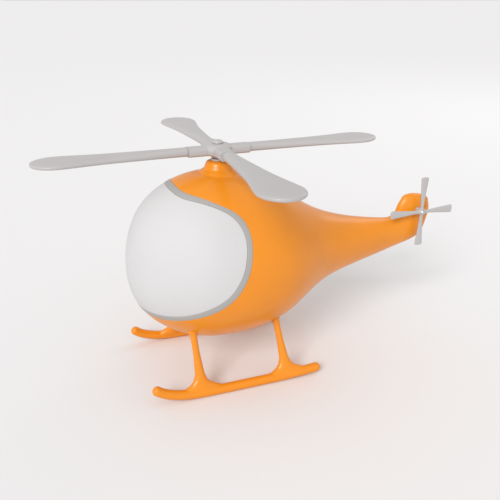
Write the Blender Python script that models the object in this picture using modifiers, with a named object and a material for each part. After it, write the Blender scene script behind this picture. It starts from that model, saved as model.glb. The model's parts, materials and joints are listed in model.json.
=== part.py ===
"""Toy helicopter: a hollow moulded body with a milky bubble canopy, skids and two free rotors.

Metres, +Z up. The nose points along -Y and port is +X. The origin lies on the ground, in the
middle of the overall length and width, so the rotor mast stands ahead of it at MAST_Y.
"""
import bpy
import bmesh
import numpy as np
from math import cos, pi, sin
from mathutils import Matrix, Vector

# --- driving dimensions ---------------------------------------------------------------------
ROTOR_RADIUS = 0.1287
ROTOR_Z = 0.1745          # mid-plane of the main blades
ROTOR_TURN = 0.0237       # at rest, seen from above: how far the blades stand past the axes
MAST_Y = -0.0358
TAIL_ROTOR_RADIUS = 0.0294
TAIL_ROTOR_X = 0.0125     # mid-plane of the tail rotor, port side
TAIL_ROTOR_Y = 0.1350
TAIL_ROTOR_Z = 0.1115

WALL = 0.0022             # body mouldings
CANOPY_WALL = 0.0020
FIT_GAP = 0.0003          # between pieces that touch
RUNNING_GAP = 0.00008     # radial, between a shaft and its bush
SEAM = FIT_GAP / 2        # each body half stops this far from the centre plane

# --- body form ------------------------------------------------------------------------------
# Sections from nose to tail. Each is an ellipse between a crown point (y, z) and a keel
# point (y, z), with its half width; the last five fan round into the tail fin.
NOSE = (-0.1077, 0.0903)
SECTIONS = (
    # crown y, crown z, keel y, keel z, half width
    (-0.1043, 0.1154, -0.1043, 0.0693, 0.0160),
    (-0.0939, 0.1363, -0.0939, 0.0524, 0.0340),
    (-0.0766, 0.1505, -0.0766, 0.0396, 0.0475),
    (-0.0570, 0.1577, -0.0570, 0.0326, 0.0560),
    (-0.0352, 0.1593, -0.0352, 0.0310, 0.0588),
    (-0.0126, 0.1536, -0.0126, 0.0329, 0.0570),
    (0.0133, 0.1404, 0.0133, 0.0414, 0.0478),
    (0.0420, 0.1221, 0.0420, 0.0584, 0.0303),
    (0.0739, 0.1109, 0.0739, 0.0686, 0.0185),
    (0.1000, 0.1062, 0.1020, 0.0750, 0.0118),
    (0.1120, 0.1052, 0.1210, 0.0800, 0.0092),
    (0.1172, 0.1080, 0.1400, 0.0862, 0.0078),
    (0.1193, 0.1126, 0.1474, 0.0975, 0.0070),
    (0.1208, 0.1165, 0.1500, 0.1090, 0.0064),
    (0.1232, 0.1202, 0.1485, 0.1172, 0.0056),
)
FIN_CROWN = 0.0052        # height of the rounded top of the tail fin over the last section
NOSE_LIFT = 0.006         # rise of the widest line from nose to tail
WIDEST_SHARE = (0.35, 0.65)       # least and most height share of that line in a section
RINGS = 32                # loft rings from nose to fin
RING_POINTS = 14          # points on half a ring

# Side view (y, z) of the gasket's two edges on the body, from the brow to under the chin.
CANOPY_LINE = (
    (-0.0740, 0.1600), (-0.0706, 0.1536), (-0.0676, 0.1515), (-0.0600, 0.1494), (-0.0515, 0.1468),
    (-0.0440, 0.1438), (-0.0375, 0.1404), (-0.0328, 0.1361), (-0.0298, 0.1305), (-0.0285, 0.1220),
    (-0.0293, 0.1125), (-0.0315, 0.1025), (-0.0354, 0.0930), (-0.0420, 0.0830), (-0.0512, 0.0748),
    (-0.0620, 0.0686), (-0.0740, 0.0637), (-0.0842, 0.0606), (-0.0950, 0.0593), (-0.1250, 0.0590),
)
PANE_LINE = (
    (-0.0795, 0.1580), (-0.0750, 0.1516), (-0.0705, 0.1487), (-0.0620, 0.1469), (-0.0530, 0.1447),
    (-0.0455, 0.1418), (-0.0395, 0.1380), (-0.0352, 0.1328), (-0.0328, 0.1260), (-0.0325, 0.1180),
    (-0.0335, 0.1110), (-0.0355, 0.1030), (-0.0394, 0.0943), (-0.0450, 0.0861), (-0.0534, 0.0788),
    (-0.0632, 0.0731), (-0.0742, 0.0681), (-0.0842, 0.0654), (-0.0950, 0.0637), (-0.1250, 0.0630),
)
LINE_POINTS = 46
GASKET_PROUD = 0.0004
GASKET_DEPTH = 0.0022

# --- small parts ----------------------------------------------------------------------------
COLLAR_TOP = 0.1670
COLLAR_FOOT = 0.1500
COLLAR_PROFILE = (        # radius and height under the top, down the outside
    (0.0, 0.0), (0.0052, 0.0), (0.0072, 0.0004), (0.0087, 0.0014), (0.0095, 0.0030),
    (0.0102, 0.0049), (0.0112, 0.0063), (0.0128, 0.0074),
)
FLANGE_RADIUS = 0.0052
FLANGE_THICKNESS = 0.0008
BUSH_FOOT = 0.1490
SHAFT_FOOT = 0.1440
CLIP_RADIUS = 0.0050
CLIP_THICKNESS = 0.0012
SHAFT_RADIUS = 0.0025
BUSH_RADIUS = 0.0045
RUNNER_X = 0.046
RUNNER_RADIUS = 0.0037
STRUT_TOP_X = 0.0305
STRUTS = ((-0.0650, -0.0670), (0.0032, -0.0014))     # y at the runner, y at the belly
PLUG_RADIUS = 0.0032
BODY_SCREWS = ((-0.028, 0.046), (0.018, 0.058), (0.018, 0.122), (0.088, 0.091))
BOSS_RADIUS = 0.0050
BOSS_REACH = 0.0600       # past the widest part of the body; the wall trims each boss
SCREW_RADIUS = 0.0013
SCREW_HEAD_RADIUS = 0.0026
SCREW_HEAD_RIM = 0.0010   # straight side of a screw's head
SCREW_HEAD_HEIGHT = 0.0018
SCREW_POINT = 0.0015      # length of its tapered end
TOP_SHARE = 0.6           # radius of a screw's or axle's narrowed end, as a share
WELL_RADIUS = 0.0034      # recess for a body screw's head
WELL_DEPTH_X = 0.0090
PILOT_DEPTH = 0.0080
PILOT_SPARE = 0.0010      # left free past a screw's point
TAIL_BOSS_RADIUS = 0.0032
AXLE_RADIUS = 0.0010
AXLE_END_X = -0.0030

# --- skids ----------------------------------------------------------------------------------
RUNNER_Z = 0.0034         # centre of the straight part; its lowest 0.3 mm is flattened
BELLY_Z = 0.0460
PLUG_INSIDE = 0.0060      # how far a strut's plug reaches into the body
PLUG_SHAFT = 0.0018
PLUG_OVERLAP = 0.0100     # how far the plug runs back inside the strut
SKID_SCREW_RADIUS = 0.0008
SKID_SCREW_LENGTH = 0.0045
SKID_HEAD_RADIUS = 0.0034
SKID_HEAD_CROWN = 0.0016  # radius of the domed top
SKID_HEAD_RIM = 0.0010
SKID_HEAD_HEIGHT = 0.0020
SKID_HEAD_DOME = 0.0001
# Side view (y, z) of a runner's centre line, from its rear end to its turned-up front.
RUNNER_PATH = (
    (0.0307, 0.0058), (0.0150, 0.0044), (0.0000, 0.0037), (-0.0300, 0.0034), (-0.0620, 0.0034),
    (-0.0740, 0.0040), (-0.0840, 0.0057), (-0.0920, 0.0084), (-0.0983, 0.0121), (-0.1014, 0.0150),
)
RUNNER_END = 0.8          # how far an end's rounding reaches, as a share of the radius
# Along a strut from the runner's centre: share of its length, half width fore and aft, half
# width across, and how far its middle lies towards the tail.
STRUT_FORM = (
    (0.01, 0.0200, 0.0030, -0.0022), (0.055, 0.0188, 0.0032, -0.0021),
    (0.09, 0.0150, 0.0033, -0.0017), (0.12, 0.0112, 0.0033, -0.0012),
    (0.16, 0.0079, 0.0032, -0.0007), (0.22, 0.0054, 0.0031, -0.0003),
    (0.32, 0.0037, 0.0030, 0.0), (0.65, 0.0026, 0.0025, 0.0), (0.88, 0.0025, 0.0025, 0.0),
    (0.98, 0.0029, 0.0029, 0.0), (1.06, 0.0040, 0.0040, 0.0),
)

# --- main rotor -----------------------------------------------------------------------------
HUB_PROFILE = (           # radius and height from the blades' mid-plane, down the outside
    (0.0, 0.0046), (0.0062, 0.0046), (0.0083, 0.0040), (0.0099, 0.0027), (0.0105, 0.0),
    (0.0098, -0.0026), (0.0080, -0.0039), (0.0058, -0.0046), (0.0047, -0.0053),
    (0.0044, -0.0060), (0.0, -0.0060),
)
CAP_PROFILE = (
    (0.0, 0.0072), (0.0016, 0.0071), (0.0031, 0.0065), (0.0038, 0.0056), (0.0040, 0.0049),
    (0.0030, 0.0049), (0.0030, 0.0030), (0.0, 0.0030),
)
CAP_STEM_RADIUS = 0.0030
ARM_REACH = 0.0229
ARM_HALF = (0.0060, 0.0034)       # half width, half height
ARM_DROP = 0.0003                 # of an arm's middle under the blades' mid-plane
ARM_EDGE = 0.0006                 # bevel at an arm's end
SPIGOT_HALF = (0.0032, 0.0016)
SPIGOT_POWER = 8.0
SOCKET_DEPTH = 0.0080
SHOULDER = 0.00001                # a blade's shoulder is square to its spigot
SHAFT_TOP = ROTOR_Z + 0.0012
BLADE_HALF_HEIGHTS = (0.0031, 0.0023)     # at the root and at the start of the tip
BLADE_TIP_POWER = 2.1
BLADE_TIP_FLATNESS = 0.3  # how late the tip thins
BLADE_PLAN = (            # radius and half chord, up to where the round tip starts
    (0.0232, 0.0045), (0.0400, 0.0056), (0.0600, 0.0075), (0.0780, 0.0094), (0.0950, 0.0122),
    (0.1050, 0.0141), (0.1105, 0.0149),
)

# --- tail rotor -----------------------------------------------------------------------------
TAIL_HUB_PROFILE = (
    (0.0, 0.0017), (0.0024, 0.0017), (0.0030, 0.0010), (0.0030, -0.0012), (0.0024, -0.0017),
    (0.0, -0.0017),
)
PADDLE_PLAN = (           # radius, half chord and half thickness
    (0.0, 0.0013, 0.0009), (0.0080, 0.0014, 0.0009), (TAIL_ROTOR_RADIUS - 0.0010, 0.0035, 0.0008),
    (TAIL_ROTOR_RADIUS, 0.0031, 0.0005),
)
SPACER_RADII = (0.0021, 0.0025)
AXLE_HEAD_RADIUS = 0.0018
AXLE_HEAD_HEIGHT = 0.0010
AXLE_HEAD_EDGE = 0.0002

FAR = 0.22                # reaches past the whole body
WELD_REACH = 0.000001     # corners closer than this are one corner

parts = bpy.data.collections.new("toy_helicopter")
cutters = bpy.data.collections.new("cutters")


def clear_scene():
    for item in list(bpy.data.objects):
        bpy.data.objects.remove(item, do_unlink=True)
    for collection in (parts, cutters):
        bpy.context.scene.collection.children.link(collection)


def plastic(name, colour, roughness, metallic=0.0):
    material = bpy.data.materials.new(name)
    material.use_nodes = True
    shader = material.node_tree.nodes["Principled BSDF"]
    shader.inputs["Base Color"].default_value = (*colour, 1.0)
    shader.inputs["Roughness"].default_value = roughness
    shader.inputs["Metallic"].default_value = metallic
    return material


ORANGE = (0.80, 0.30, 0.06)
MILKY = (0.80, 0.79, 0.78)
TRIM_GREY = (0.45, 0.44, 0.42)
LIGHT_GREY = (0.55, 0.54, 0.54)
STEEL = (0.60, 0.60, 0.60)


# --- curves ---------------------------------------------------------------------------------
def spline(knots, values):
    """The natural cubic spline through (knots, values), as a function of an array."""
    knots, values = np.asarray(knots, float), np.asarray(values, float)
    gap = np.diff(knots)
    slope = np.diff(values) / gap
    matrix = np.eye(len(knots))
    right = np.zeros(len(knots))
    for i in range(1, len(knots) - 1):
        matrix[i, i - 1:i + 2] = gap[i - 1], 2 * (gap[i - 1] + gap[i]), gap[i]
        right[i] = 6 * (slope[i] - slope[i - 1])
    bend = np.linalg.solve(matrix, right)

    def at(x):
        i = np.clip(np.searchsorted(knots, x) - 1, 0, len(gap) - 1)
        left, rest = x - knots[i], knots[i + 1] - x
        cubic = (bend[i] * rest ** 3 + bend[i + 1] * left ** 3) / (6 * gap[i])
        line_from = values[i] / gap[i] - bend[i] * gap[i] / 6
        line_to = values[i + 1] / gap[i] - bend[i + 1] * gap[i] / 6
        return cubic + line_from * rest + line_to * left
    return at


def smooth_path(points, count):
    """Evenly spread points on a spline through the given points."""
    points = np.asarray(points, float)
    lengths = np.concatenate([[0], np.cumsum(np.linalg.norm(np.diff(points, axis=0), axis=1))])
    places = np.linspace(0, lengths[-1], count)
    return np.stack([spline(lengths, points[:, k])(places) for k in range(points.shape[1])], 1)


def offset_line(line, distance):
    """Moves a side-view line sideways; positive goes to the right of its direction."""
    along = np.gradient(line, axis=0)
    along /= np.linalg.norm(along, axis=1)[:, None]
    return line + distance * np.stack([along[:, 1], -along[:, 0]], 1)


# --- mesh helpers ---------------------------------------------------------------------------
def add_object(name, mesh, material=None, helper=False):
    item = bpy.data.objects.new(name, mesh)
    (cutters if helper else parts).objects.link(item)
    if helper:
        item.display_type = "WIRE"
        item.hide_render = True
    if material:
        mesh.materials.append(material)
    return item


def mesh_from(name, bm, smooth=True):
    bmesh.ops.recalc_face_normals(bm, faces=bm.faces)
    mesh = bpy.data.meshes.new(name)
    bm.to_mesh(mesh)
    bm.free()
    if smooth:
        mesh.shade_smooth()
        mesh.set_sharp_from_angle(angle=0.7)
    return mesh


def loft(rings, start=None, end=None):
    """Skins closed rings of equal length. A pole closes an end, or its own flat face does."""
    bm = bmesh.new()
    rows = [[bm.verts.new(point) for point in ring] for ring in rings]
    count = len(rows[0])
    for row, following in zip(rows, rows[1:]):
        for k in range(count):
            n = (k + 1) % count
            bm.faces.new((row[k], row[n], following[n], following[k]))
    for row, pole in ((rows[0], start), (rows[-1], end)):
        if pole is None:
            bm.faces.new(row)
            continue
        tip = bm.verts.new(pole)
        for k in range(count):
            bm.faces.new((row[k], row[(k + 1) % count], tip))
    return bm


def extruded(outline, low_x, high_x):
    """A side-view outline of (y, z) points as a slab between two x planes."""
    return loft([[(x, y, z) for y, z in outline] for x in (low_x, high_x)])


def turned(name, profile, centre, axis="Z", steps=20, material=None, helper=False):
    """A closed (radius, height) profile from the top down its outer side, turned by Screw."""
    bm = bmesh.new()
    verts = [bm.verts.new((radius, 0, height)) for radius, height in profile]
    for a, b in zip(verts, verts[1:] + verts[:1]):
        if a.co.x > 1e-7 or b.co.x > 1e-7:
            bm.edges.new((a, b))
    mesh = bpy.data.meshes.new(name)
    bm.to_mesh(mesh)
    bm.free()
    item = add_object(name, mesh, material, helper)
    item.location = centre
    if axis == "X":
        item.rotation_euler = (0, pi / 2, 0)
    screw = item.modifiers.new("Turn", "SCREW")
    screw.steps = steps
    screw.render_steps = steps
    screw.use_merge_vertices = True
    screw.merge_threshold = 0.00001
    return item


def boolean(item, tool, operation="DIFFERENCE"):
    modifier = item.modifiers.new(operation.title(), "BOOLEAN")
    modifier.operation = operation
    modifier.solver = "EXACT"
    modifier.object = tool
    return modifier


def block(name, low, high):
    """A box cutter between two corners."""
    bm = bmesh.new()
    bmesh.ops.create_cube(bm, size=1.0)
    low, high = Vector(low), Vector(high)
    bmesh.ops.transform(bm, matrix=Matrix.Translation((low + high) / 2)
                        @ Matrix.Diagonal((*(high - low), 1)), verts=bm.verts)
    return add_object(name, mesh_from(name, bm, smooth=False), helper=True)


# --- the body's form ------------------------------------------------------------------------
BODY_KNOTS = np.linspace(0, 1, len(SECTIONS) + 1)


def body_rings(inset=0.0, rings=RINGS, points=RING_POINTS):
    """Full rings of the body surface, moved inwards by inset, with the nose and fin poles."""
    table = np.array(SECTIONS)
    places = np.linspace(0, 1, rings + 1)[1:]
    # Distance behind the nose grows with the square of the section number there, so its
    # root is what runs smoothly into the round nose.
    crown_y = NOSE[0] + spline(BODY_KNOTS, np.r_[0, np.sqrt(table[:, 0] - NOSE[0])])(places) ** 2
    keel_y = NOSE[0] + spline(BODY_KNOTS, np.r_[0, np.sqrt(table[:, 2] - NOSE[0])])(places) ** 2
    middle = NOSE[1] + NOSE_LIFT * BODY_KNOTS[1:]
    share = np.clip((middle - table[:, 3]) / (table[:, 1] - table[:, 3]), *WIDEST_SHARE)
    middle_z = table[:, 3] + share * (table[:, 1] - table[:, 3])
    rise = spline(BODY_KNOTS, np.r_[0, table[:, 1] - middle_z])(places)
    fall = spline(BODY_KNOTS, np.r_[0, middle_z - table[:, 3]])(places)
    level = spline(BODY_KNOTS, np.r_[NOSE[1], middle_z])(places)
    width = spline(BODY_KNOTS, np.r_[0, table[:, 4]])(places)
    angles = np.linspace(0, 2 * pi, 2 * points, endpoint=False)
    up = np.cos(angles)
    surface = []
    for i in range(rings):
        blend = (up + 1) / 2
        x = width[i] * np.sin(angles)
        y = keel_y[i] + (crown_y[i] - keel_y[i]) * blend
        z = level[i] + np.where(up > 0, rise[i], fall[i]) * up
        surface.append(np.stack([x, y, z], 1))
    last = surface[-1]
    across = last[0] - last[points]
    outwards = np.array([0, across[2], -across[1]]) / np.linalg.norm(across)
    if outwards[2] < 0:
        outwards = -outwards
    centre = (last[0] + last[points]) / 2
    for turn in (pi / 8, pi / 4, 3 * pi / 8):
        surface.append(centre + (last - centre) * cos(turn) + outwards * FIN_CROWN * sin(turn))
    nose = np.array([0, *NOSE])
    crown = centre + outwards * FIN_CROWN
    if inset:
        bm = loft(surface, nose, crown)
        bmesh.ops.recalc_face_normals(bm, faces=bm.faces)
        bm.normal_update()
        moved = [np.array(v.co - v.normal * inset) for v in bm.verts]
        bm.free()
        count = 2 * points
        surface = [np.array(moved[i * count:(i + 1) * count]) for i in range(len(surface))]
        nose, crown = moved[-2], moved[-1]
    return surface, nose, crown


def body_solid(name, inset, rings=RINGS, points=RING_POINTS):
    surface, nose, crown = body_rings(inset, rings, points)
    return add_object(name, mesh_from(name, loft(surface, nose, crown)), helper=True)


# --- shells ---------------------------------------------------------------------------------
def canopy_slab(name, edge, distance):
    """The canopy side of a side-view line, moved towards the body by distance, as a slab."""
    line = offset_line(smooth_path(edge, LINE_POINTS), -distance)
    outline = [tuple(point) for point in line]
    outline += [(-FAR, outline[-1][1]), (-FAR, FAR), (outline[0][0], FAR)]
    return add_object(name, mesh_from(name, extruded(outline, -FAR, FAR), smooth=False),
                      helper=True)


def body_half_width(y, z):
    """Half width of the body surface at a side-view point, from the nearest loft corners."""
    points = np.concatenate(body_rings()[0])
    near = points[points[:, 0] > 0]
    order = np.argsort(np.hypot(near[:, 1] - y, near[:, 2] - z))[:4]
    return float(near[order, 0].mean())


def rod(name, start, end, radius, steps=12):
    """A plain round cutter from start to end."""
    start, end = Vector(start), Vector(end)
    length = (end - start).length
    item = turned(name, ((0, length), (radius, length), (radius, 0), (0, 0)), start, steps=steps,
                  helper=True)
    item.rotation_euler = (end - start).to_track_quat("Z", "Y").to_euler()
    return item


def strut_axis(side, strut):
    """A strut's foot at the runner's centre and the place where its axis meets the belly."""
    foot_y, top_y = STRUTS[strut]
    foot = Vector((side * RUNNER_X, foot_y, RUNNER_Z))
    top = Vector((side * STRUT_TOP_X, top_y, BELLY_Z))
    return foot, top


def build_body_half(side, tools):
    name = "fuselage_left" if side > 0 else "fuselage_right"
    surface, nose, crown = body_rings()
    half = add_object(name, mesh_from(name, loft(surface, nose, crown)),
                      plastic(name, ORANGE, 0.32))
    boolean(half, tools["inner"])
    boolean(half, tools["collar"], "UNION")
    bosses = [(y, z, BOSS_RADIUS) for y, z in BODY_SCREWS]
    for y, z, radius in bosses + [(TAIL_ROTOR_Y, TAIL_ROTOR_Z, TAIL_BOSS_RADIUS)]:
        boss = rod(name + "_boss", (0, y, z), (side * BOSS_REACH, y, z), radius)
        boolean(boss, tools["boss_limit"], "INTERSECT")
        boolean(half, boss, "UNION")
    low = (-FAR, -FAR, -FAR) if side > 0 else (-SEAM, -FAR, -FAR)
    high = (SEAM, FAR, FAR) if side > 0 else (FAR, FAR, FAR)
    boolean(half, block(name + "_other_side", low, high))
    boolean(half, tools["canopy_opening"])
    boolean(half, tools["mast_bore"])
    hole = SCREW_RADIUS + FIT_GAP
    start = -side * FIT_GAP
    for y, z in BODY_SCREWS:
        if side > 0:
            boolean(half, rod(name + "_pilot", (start, y, z), (PILOT_DEPTH, y, z), hole, 10))
        else:
            inside_well = -WELL_DEPTH_X - FIT_GAP
            boolean(half, rod(name + "_clearance", (start, y, z), (inside_well, y, z), hole, 10))
            boolean(half, rod(name + "_well", (-WELL_DEPTH_X, y, z), (-FAR, y, z), WELL_RADIUS, 14))
    axle_to = TAIL_ROTOR_X if side > 0 else AXLE_END_X - FIT_GAP
    boolean(half, rod(name + "_axle_bore", (start, TAIL_ROTOR_Y, TAIL_ROTOR_Z),
                      (axle_to, TAIL_ROTOR_Y, TAIL_ROTOR_Z), AXLE_RADIUS + FIT_GAP))
    for strut in range(len(STRUTS)):
        foot, top = strut_axis(side, strut)
        along = (top - foot).normalized() * 2 * PLUG_INSIDE
        boolean(half, rod(name + "_strut_hole", top - along, top + along, PLUG_RADIUS + FIT_GAP))


def build_canopy(tools):
    surface, nose, crown = body_rings()
    canopy = add_object("canopy", mesh_from("canopy", loft(surface, nose, crown)),
                        plastic("canopy", MILKY, 0.35))
    boolean(canopy, tools["canopy_inner"])
    boolean(canopy, tools["canopy_pane"], "INTERSECT")


def build_gasket(tools):
    surface, nose, crown = body_rings(-GASKET_PROUD)
    gasket = add_object("canopy_gasket", mesh_from("canopy_gasket", loft(surface, nose, crown)),
                        plastic("canopy_gasket", TRIM_GREY, 0.5))
    boolean(gasket, tools["gasket_inner"])
    boolean(gasket, tools["gasket_outside"], "INTERSECT")
    boolean(gasket, tools["gasket_hole"])


def make_tools():
    """Cutters that several pieces share."""
    profile = [(radius, COLLAR_TOP - drop) for radius, drop in COLLAR_PROFILE]
    profile += [(profile[-1][0], COLLAR_FOOT), (0, COLLAR_FOOT)]
    mast = (0, MAST_Y, 0)
    return {
        "inner": body_solid("body_inside", WALL),
        "canopy_inner": body_solid("canopy_inside", CANOPY_WALL),
        "gasket_inner": body_solid("gasket_inside", GASKET_DEPTH),
        "canopy_opening": canopy_slab("canopy_opening", CANOPY_LINE, FIT_GAP),
        "gasket_outside": canopy_slab("gasket_outside", CANOPY_LINE, 0.0),
        "gasket_hole": canopy_slab("gasket_hole", PANE_LINE, 0.0),
        "canopy_pane": canopy_slab("canopy_pane", PANE_LINE, -FIT_GAP),
        "collar": turned("collar", profile, mast, steps=26, helper=True),
        "mast_bore": rod("mast_bore", (0, MAST_Y, SHAFT_FOOT), (0, MAST_Y, FAR),
                         BUSH_RADIUS + FIT_GAP, 24),
        "belly": body_solid("body_outside", -FIT_GAP),
        "boss_limit": body_solid("boss_limit", WALL / 2),
    }


# --- main rotor -----------------------------------------------------------------------------
def flat_section(half_width, half_height, count, power=4.0):
    """A superellipse, flat above and below when power is high."""
    angles = np.linspace(0, 2 * pi, count, endpoint=False) + pi / count
    c, s = np.cos(angles), np.sin(angles)
    return np.stack([half_width * np.sign(c) * np.abs(c) ** (2 / power),
                     half_height * np.sign(s) * np.abs(s) ** (2 / power)], 1)


def bar(name, stations, power=4.0, count=12, material=None, helper=False, tip=None):
    """A bar along +X: stations are (x, half width, half height)."""
    rings = [[(x, w, h) for w, h in flat_section(width, height, count, power)]
             for x, width, height in stations]
    return add_object(name, mesh_from(name, loft(rings, end=tip)), material, helper)


def lifted(profile, height):
    return [(radius, z + height) for radius, z in profile]


def build_hub():
    name = "rotor_hub"
    centre = (0, MAST_Y, ROTOR_Z)
    hub = turned(name, HUB_PROFILE, centre, steps=24, material=plastic(name, LIGHT_GREY, 0.35))
    width, height = ARM_HALF
    socket_half = [half + FIT_GAP for half in SPIGOT_HALF]
    for turn in (0, pi / 2):
        ends = ((-ARM_REACH, -ARM_EDGE), (-ARM_REACH + ARM_EDGE, 0), (ARM_REACH - ARM_EDGE, 0),
                (ARM_REACH, -ARM_EDGE))
        arm = bar(name + "_arm", [(x, width + trim, height + trim) for x, trim in ends],
                  helper=True)
        arm.location = (0, MAST_Y, ROTOR_Z - ARM_DROP)
        arm.rotation_euler = (0, 0, turn + ROTOR_TURN)
        boolean(hub, arm, "UNION")
    for quarter in range(4):
        socket = bar(name + "_socket", [(ARM_REACH - SOCKET_DEPTH, *socket_half),
                                        (ARM_REACH + SOCKET_DEPTH, *socket_half)],
                     power=SPIGOT_POWER, helper=True)
        socket.location = centre
        socket.rotation_euler = (0, 0, quarter * pi / 2 + ROTOR_TURN)
        boolean(hub, socket)
    boolean(hub, rod("shaft_socket", (0, MAST_Y, SHAFT_FOOT), (0, MAST_Y, SHAFT_TOP + FIT_GAP),
                     SHAFT_RADIUS + FIT_GAP, 24))
    stem_foot = ROTOR_Z + CAP_PROFILE[-1][1] - FIT_GAP
    boolean(hub, rod("cap_socket", (0, MAST_Y, stem_foot), (0, MAST_Y, FAR),
                     CAP_STEM_RADIUS + FIT_GAP, 24))


def blade_stations():
    """(x, half width, half height) along a blade, with a round superellipse tip."""
    plan = np.array(BLADE_PLAN)
    width_at = spline(plan[:, 0], plan[:, 1])
    tip_start = plan[-1, 0]
    root_height, tip_height = BLADE_HALF_HEIGHTS
    places = np.linspace(plan[0, 0], tip_start, 7)
    heights = np.linspace(root_height, tip_height, 7)
    stations = list(zip(places, width_at(places), heights))
    roundness = 2 / BLADE_TIP_POWER
    for turn in np.linspace(0, pi / 2, 7)[1:-1]:
        r = tip_start + (ROTOR_RADIUS - tip_start) * sin(turn) ** roundness
        height = tip_height * cos(turn) ** BLADE_TIP_FLATNESS
        stations.append((r, plan[-1, 1] * cos(turn) ** roundness, height))
    return stations


def build_blades():
    stations = blade_stations()
    root = stations[0][0]
    spigot = [(ARM_REACH - SOCKET_DEPTH + FIT_GAP, *SPIGOT_HALF), (root - SHOULDER, *SPIGOT_HALF)]
    for name, turn in (("blade_front", -pi / 2), ("blade_port", 0), ("blade_rear", pi / 2),
                       ("blade_starboard", pi)):
        blade = bar(name, spigot + stations, power=2.8, tip=(ROTOR_RADIUS, 0, 0),
                    material=plastic(name, LIGHT_GREY, 0.35))
        blade.location = (0, MAST_Y, ROTOR_Z)
        blade.rotation_euler = (0, 0, turn + ROTOR_TURN)


def build_mast():
    mast = (0, MAST_Y, 0)
    turned("hub_cap", lifted(CAP_PROFILE, ROTOR_Z), mast, material=plastic("hub_cap", LIGHT_GREY, 0.3))
    turned("rotor_shaft", (
        (0, SHAFT_TOP), (SHAFT_RADIUS, SHAFT_TOP), (SHAFT_RADIUS, SHAFT_FOOT), (0, SHAFT_FOOT)),
        mast, material=plastic("rotor_shaft", STEEL, 0.3, 1.0))
    flange = COLLAR_TOP + FIT_GAP
    bore = SHAFT_RADIUS + RUNNING_GAP
    turned("mast_bush", (
        (bore, flange + FLANGE_THICKNESS), (FLANGE_RADIUS, flange + FLANGE_THICKNESS),
        (FLANGE_RADIUS, flange), (BUSH_RADIUS, flange), (BUSH_RADIUS, BUSH_FOOT),
        (bore, BUSH_FOOT)), mast, material=plastic("mast_bush", TRIM_GREY, 0.5))
    grip = SHAFT_RADIUS + FIT_GAP
    clip_top = BUSH_FOOT - FIT_GAP
    turned("shaft_clip", (
        (grip, clip_top), (CLIP_RADIUS, clip_top), (CLIP_RADIUS, clip_top - CLIP_THICKNESS),
        (grip, clip_top - CLIP_THICKNESS)), mast, material=plastic("shaft_clip", STEEL, 0.35, 1.0))


# --- tail rotor -----------------------------------------------------------------------------
def build_tail_rotor():
    centre = (TAIL_ROTOR_X, TAIL_ROTOR_Y, TAIL_ROTOR_Z)
    axis_start = (0, TAIL_ROTOR_Y, TAIL_ROTOR_Z)
    rotor = turned("tail_rotor", TAIL_HUB_PROFILE, centre, axis="X",
                   material=plastic("tail_rotor", LIGHT_GREY, 0.35))
    stations = [(-x, w, h) for x, w, h in reversed(PADDLE_PLAN[1:])] + list(PADDLE_PLAN)
    for angle in (0, pi / 2):
        paddles = bar("tail_paddles", stations, power=3.0, helper=True)
        paddles.rotation_euler = Matrix(((0, 0, 1), (cos(angle), -sin(angle), 0),
                                         (sin(angle), cos(angle), 0))).to_euler()
        paddles.location = centre
        boolean(rotor, paddles, "UNION")
    boolean(rotor, rod("tail_rotor_bore", axis_start, (FAR, *centre[1:]),
                       AXLE_RADIUS + RUNNING_GAP, 24))
    grip = AXLE_RADIUS + FIT_GAP
    outer_face = TAIL_ROTOR_X + TAIL_HUB_PROFILE[-1][1] - FIT_GAP
    inner_face = body_half_width(TAIL_ROTOR_Y, TAIL_ROTOR_Z) + 2 * FIT_GAP
    turned("tail_spacer", (
        (grip, outer_face), (SPACER_RADII[0], outer_face), (SPACER_RADII[1], inner_face),
        (grip, inner_face)), axis_start, axis="X", material=plastic("tail_spacer", TRIM_GREY, 0.5))
    head = TAIL_ROTOR_X + TAIL_HUB_PROFILE[0][1] + FIT_GAP
    head_top = head + AXLE_HEAD_HEIGHT
    turned("tail_axle", (
        (0, head_top), (AXLE_HEAD_RADIUS * TOP_SHARE, head_top - AXLE_HEAD_EDGE),
        (AXLE_HEAD_RADIUS, head + AXLE_HEAD_EDGE), (AXLE_HEAD_RADIUS, head), (AXLE_RADIUS, head),
        (AXLE_RADIUS, AXLE_END_X), (0, AXLE_END_X)), axis_start, axis="X", steps=16,
        material=plastic("tail_axle", STEEL, 0.3, 1.0))


# --- skids ----------------------------------------------------------------------------------
def runner_rings(side, count=12):
    """Round sections along the runner, at right angles to its path, with rounded ends."""
    path = smooth_path(RUNNER_PATH, 20)
    along = np.gradient(path, axis=0)
    along /= np.linalg.norm(along, axis=1)[:, None]
    angles = np.linspace(0, 2 * pi, count, endpoint=False)
    end = RUNNER_RADIUS * RUNNER_END
    reach = np.linspace(0, pi / 2, 4)[1:]
    rear = [(path[0] - along[0] * end * (sin(a) - 1), along[0], cos(a)) for a in reach[::-1][1:]]
    front = [(path[-1] + along[-1] * end * (sin(a) - 1), along[-1], cos(a)) for a in reach[:-1]]
    body = [(p, d, 1.0) for p, d in zip(path[2:-2], along[2:-2])]
    rings = []
    for point, direction, scale in rear + body + front:
        normal = np.array([direction[1], -direction[0]])
        radius = RUNNER_RADIUS * scale
        rings.append([(side * RUNNER_X + radius * cos(a), point[0] + normal[0] * radius * sin(a),
                       point[1] + normal[1] * radius * sin(a)) for a in angles])
    tips = [(side * RUNNER_X, *path[0]), (side * RUNNER_X, *path[-1])]
    return rings, tips


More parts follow.
